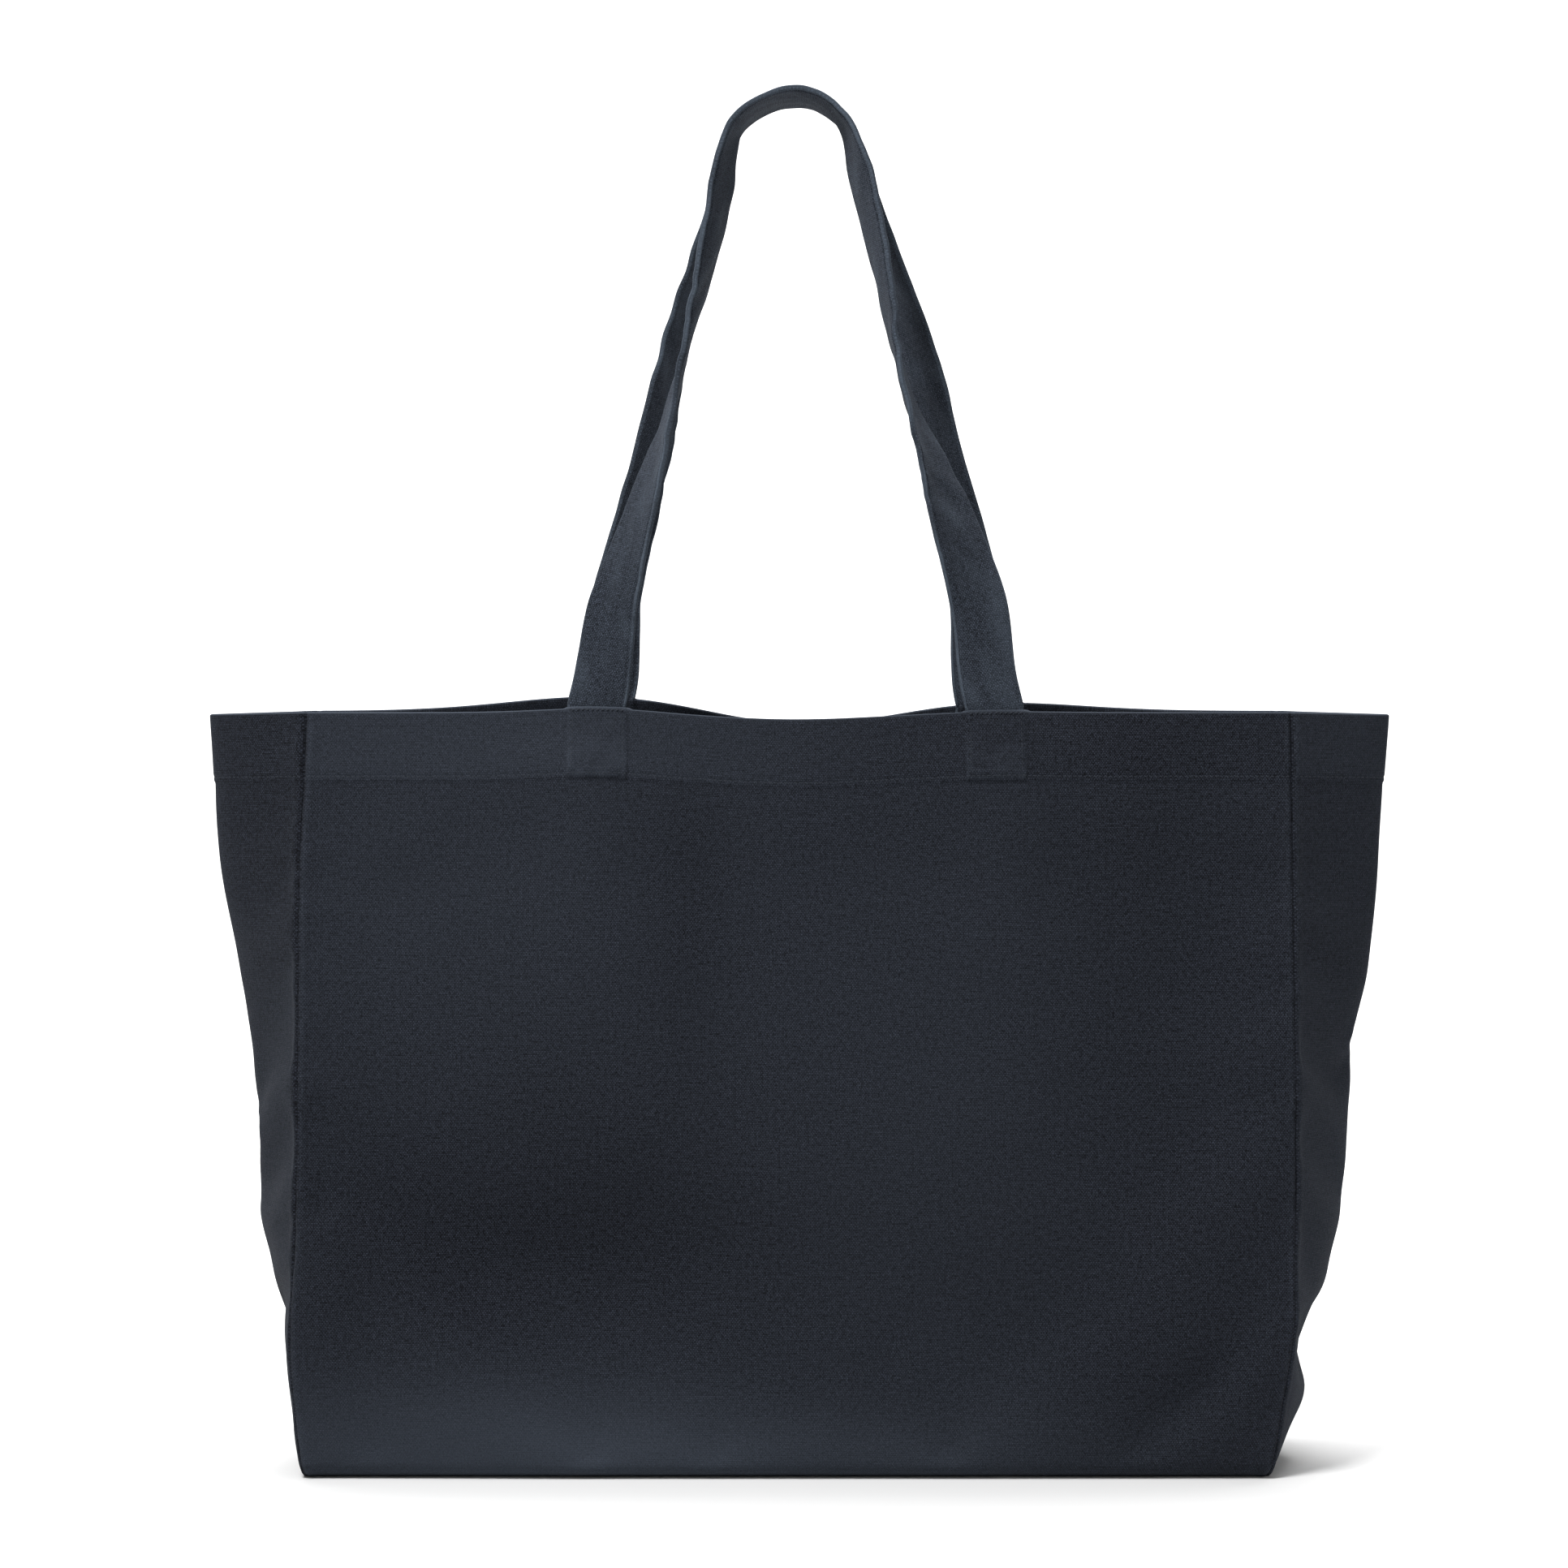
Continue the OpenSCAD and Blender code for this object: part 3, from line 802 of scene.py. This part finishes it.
def face_grid(face, us):
    """The middle surface of a face's cloth with its turned hem, its flat places, and its wear with painted
    light and shade.
    """
    gap = SHEET_T + 0.45 * MM
    extra = tab_depth(us) if face.is_wall else np.zeros(len(us))
    lines, flats, rubbed_and_lit = [], [], []
    for v in outer_rows():
        lines.append(face.at(us, v, SHEET_T / 2))
        flats.append(v)
        rubbed_and_lit.append(0.0)
    bend = (gap + extra) / 2
    for turn in np.radians([25, 60, 90, 120, 155]):
        v = RIM_TURN + np.minimum(bend, 1.7 * MM) * math.sin(turn)
        lines.append(face.at(us, v, SHEET_T / 2 + bend * (1 - math.cos(turn))))
        flats.append(BODY_H + bend.mean() * turn)
        # A lighter rim fold: rubbing, and a painted highlight
        rubbed_and_lit.append(0.85 * math.sin(turn) ** 2)
    down = np.concatenate([[RIM_TURN], np.arange(BODY_H - 4 * MM, HEM_EDGE + 2 * MM, -GRID),
                           [HEM_EDGE + 1 * MM, HEM_EDGE]])
    for v in down:
        lines.append(face.at(us, v, SHEET_T / 2 + gap + extra))
        flats.append(2 * BODY_H - v)
        rubbed_and_lit.append(0.0)
    uv = np.stack(np.meshgrid(us, flats, indexing="ij"), -1)
    return np.stack(lines, 1), uv, face_wear_and_painted_shading(face, us, flats, rubbed_and_lit)


def oriented(grid, face):
    """Normals of a face grid, turned so that they point out of the bag."""
    normals = surface_normals(grid)
    outer_row = 20
    outward = face.mix(face.normals, np.array([0.0]), np.array([0.1]))[0]
    return normals if normals[grid.shape[0] // 2, outer_row] @ outward > 0 else -normals


def wall_axis():
    """Places across a wall, closer together at the seams and round the handle ends."""
    ends = HALF_W - np.array([0, 0.45, 0.9, 1.4, 2, 2.8, 3.8, 5, 6.4, 8, 10]) * MM
    middle = np.arange(-HALF_W + 12.5 * MM, HALF_W - 12 * MM, GRID)
    middle = middle[np.abs(np.abs(middle) - TAB_X) > STRAP_W / 2 + 4 * MM]
    tab = TAB_X + np.arange(-STRAP_W / 2 - 3.9 * MM, STRAP_W / 2 + 4 * MM, 0.9 * MM)
    return np.sort(np.concatenate([-ends, ends, middle, -tab, tab]))


def hem_thread(face, name, start, stop):
    """The row of stitches that holds a turned hem, from one place across a face to another."""
    row = row_on_face(face, [(start, HEM_ROW), (stop, HEM_ROW)], **HEM_STITCH)
    return join(f"{name}_hem_thread", [row], THREAD)


def make_wall(side):
    """One large panel with its turned hem and stitching."""
    name = SIDE_NAME[side]
    face = FACES[name]
    grid, uv, wear = face_grid(face, wall_axis())
    panel = thick_grid(f"{name}_cloth", grid, oriented(grid, face), SHEET_T, uv, wear, CANVAS)
    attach(panel, f"{name}_wall")
    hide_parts(f"{name}_panel", f"{name}_hem")

    stitches = hem_thread(face, name, -HALF_W + 1 * MM, HALF_W - 1 * MM)
    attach(stitches, f"{name}_wall")
    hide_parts(f"{name}_hem_stitch")
    for end in (LEFT, RIGHT):
        make_tab_stitches(face, side, end)
        make_side_seam(face, side, end)


def make_tab_stitches(face, side, end):
    """The stitching that holds one handle end: a row along the rim and a box below it."""
    name = f"{SIDE_NAME[side]}_{END_NAME[end]}_tab"
    half = STRAP_W / 2 - 2 * MM
    x0, x1 = end * TAB_X - half, end * TAB_X + half
    rim_v = BODY_H - 1.9 * MM
    low_v, high_v = TAB_LOW_Z + 4 * MM, BODY_H - 6 * MM
    parts = [row_on_face(face, [(x0 - 1 * MM, rim_v), (x1 + 1 * MM, rim_v)], **RIM_STITCH)]
    box = [(x0, low_v), (x1, low_v), (x1, high_v), (x0, high_v), (x0, low_v)]
    for corner, following in zip(box[:-1], box[1:]):
        parts.append(row_on_face(face, [corner, following], **BOX_STITCH))
    piece = join(f"{name}_thread", parts, THREAD)
    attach(piece, f"{SIDE_NAME[side]}_wall")
    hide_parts(f"{name}_stitch")


SEAM_W = 10 * MM
OVERCAST_PITCH = 2.6 * MM
OVERCAST_REACH = 4.5 * MM
OVERCAST_THICK = 0.45 * MM
# Each run of thread in one overcast loop, as (share of the pitch, side of the cloth)
OVERCAST_RUNS = ((0.0, 0.0), (0.33, 1.0), (0.66, -1.0))


def overcast(edge, inward, normal):
    """Loops of overlock thread round a raw edge: three straight runs for each loop."""
    ahead = unit(np.gradient(edge, axis=0))
    to_next = np.roll(edge, -1, axis=0) - edge
    runs = []
    for offset, lift in OVERCAST_RUNS:
        middle = edge + inward * (OVERCAST_REACH * 0.45 if lift else 0) + normal * lift * 1.15 * MM
        middle = middle + to_next * offset
        along = unit(inward + 0.25 * lift * ahead) if lift else normal
        outward = normal * lift if lift else -inward
        outward = unit(outward - along * (outward * along).sum(-1, keepdims=True))
        length = OVERCAST_REACH if lift else 2.4 * MM
        runs.append(stitch_parts(middle[:-1], along[:-1], outward[:-1], length, OVERCAST_THICK))
    return runs


def seam_strip(name, body, centre, inward, normal, width):
    """The overcast allowance of a seam: two layers of cloth with thread round the edge."""
    across = np.linspace(0, width, 7)
    wave = value_noise(np.arange(len(centre)) / 7.0, np.zeros(len(centre)), 31)[:, None]
    grid = np.stack([centre + inward * w + normal * 0.4 * MM * wave * (w / width) for w in across], 1)
    flat = np.stack(np.meshgrid(np.arange(len(centre)) * OVERCAST_PITCH, across, indexing="ij"), -1)
    strip = thick_grid(f"{name}_cloth", grid, surface_normals(grid), 1.9 * MM, flat,
                       np.zeros(grid.shape[:2]), ALLOWANCE)
    loops = join(f"{name}_overcast", overcast(grid[:, -1], -inward, normal), OVERCAST)
    for piece in (strip, loops):
        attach(piece, body)
        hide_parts(name)


def make_side_seam(face, side, end):
    """The upright allowance inside the bag where a panel meets a gusset."""
    name = f"{SIDE_NAME[side]}_{END_NAME[end]}_seam"
    v = np.arange(18 * MM, HEM_EDGE - 2 * MM, OVERCAST_PITCH)
    u = np.full(len(v), end * (HALF_W - 1.2 * MM))
    depth = 5 * MM
    centre = face.at(u, v, depth)
    inward = unit(face.at(u - end * 3 * MM, v, depth) - centre)
    normal = unit(np.cross(inward, np.gradient(centre, axis=0)))
    seam_strip(name, f"{SIDE_NAME[side]}_wall", centre, inward, normal, SEAM_W)


def gusset_axis():
    """Places across a gusset from seam to seam, with one on the fold."""
    ends = HALF_D - np.array([0, 0.45, 0.9, 1.4, 2, 2.8, 3.8, 5, 6.4, 8]) * MM
    half = np.concatenate([np.linspace(0, HALF_D - 10 * MM, 22), ends])
    return np.unique(np.round(np.concatenate([-half, half]), 7))


def make_gusset(end):
    """A side gusset in two halves that meet at its fold."""
    name = END_NAME[end]
    face = FACES[name]
    us = gusset_axis()
    grid, uv, wear = face_grid(face, us)
    wear = wear + 0.25 * bump(us, 0, 3 * MM)[:, None] * smooth((uv[..., 1] - 0.12) / 0.2)
    normals = oriented(grid, face)
    middle = len(us) // 2
    for side in (FRONT, BACK):
        half_name = f"{name}_gusset_{SIDE_NAME[side]}"
        part = slice(0, middle + 1) if side == FRONT else slice(middle, None)
        half = thick_grid(f"{half_name}_half", grid[part], normals[part],
                          SHEET_T, uv[part], wear[part], CANVAS)
        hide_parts(f"{name}_gusset", f"{name}_gusset_hem")
        stitches = hem_thread(face, half_name, side * MM, side * (HALF_D - 1 * MM))
        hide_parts(f"{name}_gusset_hem_stitch")
        for piece in (half, stitches):
            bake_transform(piece)


def make_base():
    """The flat bottom, from the front wall's lower edge to the back wall's."""
    us = wall_axis()
    front = FACES["front"].at(us, 0.0, SHEET_T / 2)
    back = FACES["back"].at(us, 0.0, SHEET_T / 2)
    share = np.linspace(0, 1, 45)
    grid = front[:, None] * (1 - share)[None, :, None] + back[:, None] * share[None, :, None]
    grid[..., 2] = SHEET_T / 2 + 0.05 * MM
    uv = np.stack(np.meshgrid(us, share * 2 * HALF_D, indexing="ij"), -1)
    normals = np.zeros_like(grid)
    normals[..., 2] = -1
    unworn = np.zeros(grid.shape[:2])
    base = thick_grid("base_cloth", grid[::-1], normals[::-1], SHEET_T, uv, unworn, CANVAS)
    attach(base, "bag")
    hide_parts("base_panel")
    for end in (LEFT, RIGHT):
        y = np.arange(-HALF_D + 14 * MM, HALF_D - 14 * MM, OVERCAST_PITCH)
        x = end * (HALF_W - CORNER_INSET[end] - 3 * MM)
        centre = np.stack([np.full(len(y), x), y, np.full(len(y), 2.2 * MM)], -1)
        inward = np.tile([-end * 0.25, 0, 0.97], (len(y), 1))
        normal = np.tile([end * 0.97, 0, 0.25], (len(y), 1))
        name = f"{END_NAME[end]}_base_seam"
        seam_strip(name, "bag", centre, unit(inward), unit(normal), SEAM_W - 1 * MM)


# ---------------- handles

LEG_TILT = math.radians(14)
ARCH_R = 31 * MM
LOOP_H = 319 * MM
TURN_SHARE = 0.92
# Outward bow of the legs low down and high up, by side of the bag and end of the handle
LEG_BOW = {
    FRONT: {LEFT: (4.5 * MM, 1 * MM), RIGHT: (6 * MM, -5 * MM)},
    BACK: {LEFT: (6.5 * MM, 7 * MM), RIGHT: (7.5 * MM, 7.5 * MM)},
}
FOOT_Y = RIM_Y - STRAP_T / 2 - 0.3 * MM
EDGE_ROW = 2.2 * MM
STRAP_PITCH = 2.5 * MM


def half_loop(side, end):
    """Middle line of half a handle from its sewn end to the top of the arch."""
    arch_z = BODY_H + LOOP_H - ARCH_R
    meet = np.array([ARCH_R * math.cos(LEG_TILT), arch_z + ARCH_R * math.sin(LEG_TILT)])
    share = np.linspace(0, 1, 110)[:-1]
    low, high = LEG_BOW[side][end]
    bow = low * bump(share, 0.2, 0.21) + high * bump(share, 0.63, 0.22)
    bow *= smooth(share / 0.2) * smooth((1 - share) / 0.12)
    leg = np.stack([TAB_X + (meet[0] - TAB_X) * share + bow,
                    BODY_H + (meet[1] - BODY_H) * share], -1)
    angle = LEG_TILT + (math.pi / 2 - LEG_TILT) * np.linspace(0, 1, 36)
    arch = np.stack([ARCH_R * np.cos(angle), arch_z + ARCH_R * np.sin(angle)], -1)
    sewn = np.stack([np.full(16, TAB_X), np.linspace(TAB_LOW_Z, BODY_H, 17)[:-1]], -1)
    line = np.concatenate([sewn, leg, arch])
    if side == BACK:
        line[:, 0] -= 3 * MM * (1 - smooth((line[:, 1] - BODY_H) / 0.12))
    line[:, 0] *= end
    return line


def strap_turn(side, end, rise):
    """How far a strap has turned, in degrees, at a share of the loop's height."""
    rise = np.clip(rise, 0, 1)
    if side == BACK:
        return 90 * rise ** (0.65 if end == LEFT else 1.0)
    late, span = (0.0, TURN_SHARE) if end == LEFT else (0.16, 0.66)
    turned = 110 * np.sin(math.pi / 2 * np.clip((rise - late) / span, 0, 1))
    return turned - 15 * smooth((rise - 0.85) / 0.15)


def strap_frames(side):
    """Places, directions and turn along the whole loop of one handle."""
    left, right = half_loop(side, LEFT), half_loop(side, RIGHT)[::-1][1:]
    line = np.concatenate([left, right])
    reach = np.concatenate([[0], np.cumsum(np.linalg.norm(np.diff(line, axis=0), axis=1))])
    rise = (line[:, 1] - BODY_H) / LOOP_H
    to_right = smooth((line[:, 0] + 0.03) / 0.06)
    turn = strap_turn(side, LEFT, rise) * (1 - to_right) + strap_turn(side, RIGHT, rise) * to_right
    turn = np.radians(turn)
    line[:, 0] -= 3.5 * MM * bump(rise, 0.92, 0.1) * (1 - to_right)
    tangent = unit(np.gradient(line, axis=0))
    outward = np.stack([-tangent[:, 1], tangent[:, 0]], -1)
    depth = np.where(rise < 0, wall_y(line[:, 1]) - STRAP_T / 2 - 0.3 * MM,
                     FOOT_Y + (ARCH_Y - FOOT_Y) * rise)
    lift = rim_lift(line[:, 0], side) * smooth(1 - rise * 4)
    return line, reach, rise, turn, outward, depth, lift


def strap_surface(side, across, through):
    """Points of a strap for every place along it and each (across, through) pair."""
    line, reach, rise, turn, outward, depth, lift = strap_frames(side)
    free = smooth(rise * 14)
    s, c = reach[:, None], across[None, :] / (STRAP_W / 2)
    seed = 40 if side == FRONT else 44
    curl = 1.3 * MM * free * np.sin(math.pi * np.clip(rise, 0, 1) * 0.95)
    busy = 0.45 + 0.75 * bump(rise, 0.6, 0.3)[:, None]
    waves = 0.8 * MM * value_noise(s / 0.026 + 3, c * 1.1 + 5, seed)
    crease = 0.75 * MM * value_noise(s / 0.012 + c * 1.5, c * 0.8 + 2, seed + 2)
    pucker = 0.5 * MM * value_noise(s / 0.0055, c * 1.2, seed + 1) * smooth((c + 0.2) / 1.2)
    bow = curl[:, None] * (c ** 2 - 0.4) + (waves + crease + pucker) * busy * free[:, None]
    thin = 1 - 0.42 * bump(across[None, :], STRAP_W / 2 - EDGE_ROW, 0.7 * MM)
    through = through[None, :] * thin + bow
    across = across[None, :] * (1 - 0.03 * free[:, None] * np.sin(math.pi * np.clip(rise, 0, 1))[:, None])
    cos_t, sin_t = np.cos(turn)[:, None], np.sin(turn)[:, None]
    plane = -across * cos_t + through * sin_t
    away = across * sin_t + through * cos_t
    sway = 1.2 * MM * free * value_noise(reach / 0.07, reach * 0 + seed, 50)
    x = line[:, 0:1] + plane * outward[:, 0:1] + sway[:, None]
    z = line[:, 1:2] + plane * outward[:, 1:2] + lift[:, None]
    y = depth[:, None] + away
    return np.stack([x, side * y, z], -1)


def strap_outline():
    """Cross-section of the folded strap as (across, through), once round."""
    half, t = STRAP_W / 2, STRAP_T / 2
    flat = np.concatenate([np.linspace(-half + 1.2 * MM, half - 4 * MM, 14),
                           half - np.array([3.2, 2.7, 2.2, 1.7, 1.2]) * MM])
    nose = np.radians([60, 30, 0, -30, -60])
    across = np.concatenate([flat, half - 1.2 * MM + 1.2 * MM * np.cos(nose), flat[::-1],
                             -half + 1.2 * MM - 1.2 * MM * np.cos(nose[::-1])])
    through = np.concatenate([np.full(len(flat), t), t * np.sin(nose), np.full(len(flat), -t),
                              t * np.sin(nose[::-1])])
    return across, through


def strap_wear_and_highlight(reach, across):
    """Wear of a strap's points: lighter edges from rubbing and a painted highlight, with blotches along it.
    """
    wear = 0.6 * (across > STRAP_W / 2 - 1.5 * MM) + 0.4 * (across < 0.9 * MM - STRAP_W / 2) + 0.1
    along, over = np.repeat(reach, len(across)), np.tile(across, len(reach))
    wear = np.tile(wear, len(reach)) * (0.7 + 0.6 * value_noise(along / 0.02, over * 300, 61))
    wear += 0.22 * np.clip(value_noise(along / 0.013 + over * 90, over / 0.011, 62), 0, 1)
    return np.clip(wear, 0, 1)


def make_strap(side):
    """The folded cloth of one handle, from one sewn end up over the arch to the other."""
    name = SIDE_NAME[side]
    across, through = strap_outline()
    grid = strap_surface(side, across, through)
    n, m = grid.shape[:2]
    index = np.arange(n * m).reshape(n, m)
    i, j = np.meshgrid(np.arange(n - 1), np.arange(m), indexing="ij")
    k = (j + 1) % m
    quads = np.stack([index[i, j], index[i + 1, j], index[i + 1, k], index[i, k]], -1).reshape(-1, 4)
    faces = quads.tolist() + [index[0].tolist(), index[-1, ::-1].tolist()]
    if side == BACK:
        faces = [f[::-1] for f in faces]
    reach = strap_frames(side)[1]
    around = np.where(through > 0, across, 2 * STRAP_W - across)
    uv = np.stack(np.meshgrid(reach, around, indexing="ij"), -1)[..., ::-1].reshape(-1, 2)
    strap = add_mesh(f"{name}_strap", grid.reshape(-1, 3), faces, uv, strap_wear_and_highlight(reach, across), STRAP_CANVAS)
    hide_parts(f"{name}_handle", f"{name}_left_tab", f"{name}_right_tab")
    return strap


def make_strap_thread(side):
    """The edge stitching of one handle, on both faces of its strap."""
    name = SIDE_NAME[side]
    reach = strap_frames(side)[1]
    count = int(reach[-1] / STRAP_PITCH)
    at = (np.arange(count) + 0.5) * reach[-1] / count
    row_at = STRAP_W / 2 - EDGE_ROW + np.array([-0.5, 0, 0.5]) * MM

    def pick(lines, column, places):
        """Points of one of a surface's three lines at places along the strap."""
        return np.stack([np.interp(places, reach, lines[:, column, axis]) for axis in range(3)], -1)

    core = pick(strap_surface(side, row_at, np.zeros(3)), 1, at)
    parts = []
    for face in (1, -1):
        lines = strap_surface(side, row_at, np.full(3, face * STRAP_T / 2))
        middle = pick(lines, 1, at)
        along = unit(pick(lines, 1, at + 0.6 * MM) - pick(lines, 1, at - 0.6 * MM))
        sideways = unit(pick(lines, 2, at) - pick(lines, 0, at))
        outward = unit(np.cross(along, sideways)) * face
        outward *= np.sign((outward * (middle - core)).sum(-1, keepdims=True))
        parts.append(stitch_parts(middle, along, outward, 2 * MM, 0.45 * MM))
    row = join(f"{name}_strap_thread", parts, STRAP_THREAD)
    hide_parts(f"{name}_handle_stitch")
    return row


def make_handle(side):
    """One handle: its strap and its edge stitching."""
    for piece in (make_strap(side), make_strap_thread(side)):
        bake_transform(piece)


for side in (FRONT, BACK):
    make_wall(side)
    make_handle(side)
for end in (LEFT, RIGHT):
    make_gusset(end)
make_base()


# ---------------- stage, lights, camera


def plain_material(name, colour, roughness):
    """A smooth plain surface for the stage."""
    n = Nodes(name)
    n.shader.inputs["Base Color"].default_value = colour
    n.shader.inputs["Roughness"].default_value = roughness
    return n.material


def make_floor():
    """A pale floor that curves up far behind the bag."""
    flat_end, curve = 1.6, 1.2
    profile = [(-3.0, 0.0), (flat_end, 0.0)]
    for angle in np.radians(np.arange(10, 91, 10)):
        profile.append((flat_end + curve * math.sin(angle), curve - curve * math.cos(angle)))
    profile.append((flat_end + curve, 4.0))
    points = [(x, y, z) for x in (-4.0, 4.0) for y, z in profile]
    count = len(profile)
    faces = [(i, i + 1, count + i + 1, count + i) for i in range(count - 1)]
    pale = plain_material("floor", (0.62, 0.62, 0.62, 1), 0.9)
    add_mesh("floor", np.array(points), faces, material=pale)


def make_light(name, place, target, size, power):
    """A square soft light aimed at a point."""
    lamp = bpy.data.lights.new(name, "AREA")
    lamp.shape = "SQUARE"
    lamp.size = size
    lamp.energy = power
    thing = bpy.data.objects.new(name, lamp)
    bpy.context.collection.objects.link(thing)
    thing.location = place
    aim = Vector(target) - Vector(place)
    thing.rotation_euler = aim.to_track_quat("-Z", "Y").to_euler()


def make_world():
    """Even pale surroundings."""
    world = bpy.data.worlds.new("studio")
    world.use_nodes = True
    world.node_tree.nodes["Background"].inputs["Color"].default_value = (1, 1, 1, 1)
    world.node_tree.nodes["Background"].inputs["Strength"].default_value = 0.18
    bpy.context.scene.world = world


def make_camera():
    """A long lens, level with the upper body of the bag."""
    data = bpy.data.cameras.new("camera")
    data.lens = 100
    data.sensor_width = 36
    camera = bpy.data.objects.new("camera", data)
    bpy.context.collection.objects.link(camera)
    target = Vector((-0.006, -0.045, 0.3555))
    tilt = math.radians(1.6)
    distance = 2.236
    camera.location = target + Vector((0, -math.cos(tilt), math.sin(tilt))) * distance
    camera.rotation_euler = (target - camera.location).to_track_quat("-Z", "Y").to_euler()
    bpy.context.scene.camera = camera


make_floor()
make_world()
make_light("key", (-0.75, -1.0, 2.0), (0, 0, 0.25), 0.7, 66)
make_light("fill", (1.7, -1.8, 0.9), (0, 0, 0.3), 1.4, 15)
make_light("top", (0.2, 0.6, 2.6), (0, 0.3, 0), 1.8, 50)
make_light("backdrop", (0.0, 1.0, 3.0), (0, 2.8, 1.3), 2.2, 150)
make_camera()
bpy.context.scene.view_settings.view_transform = "Standard"
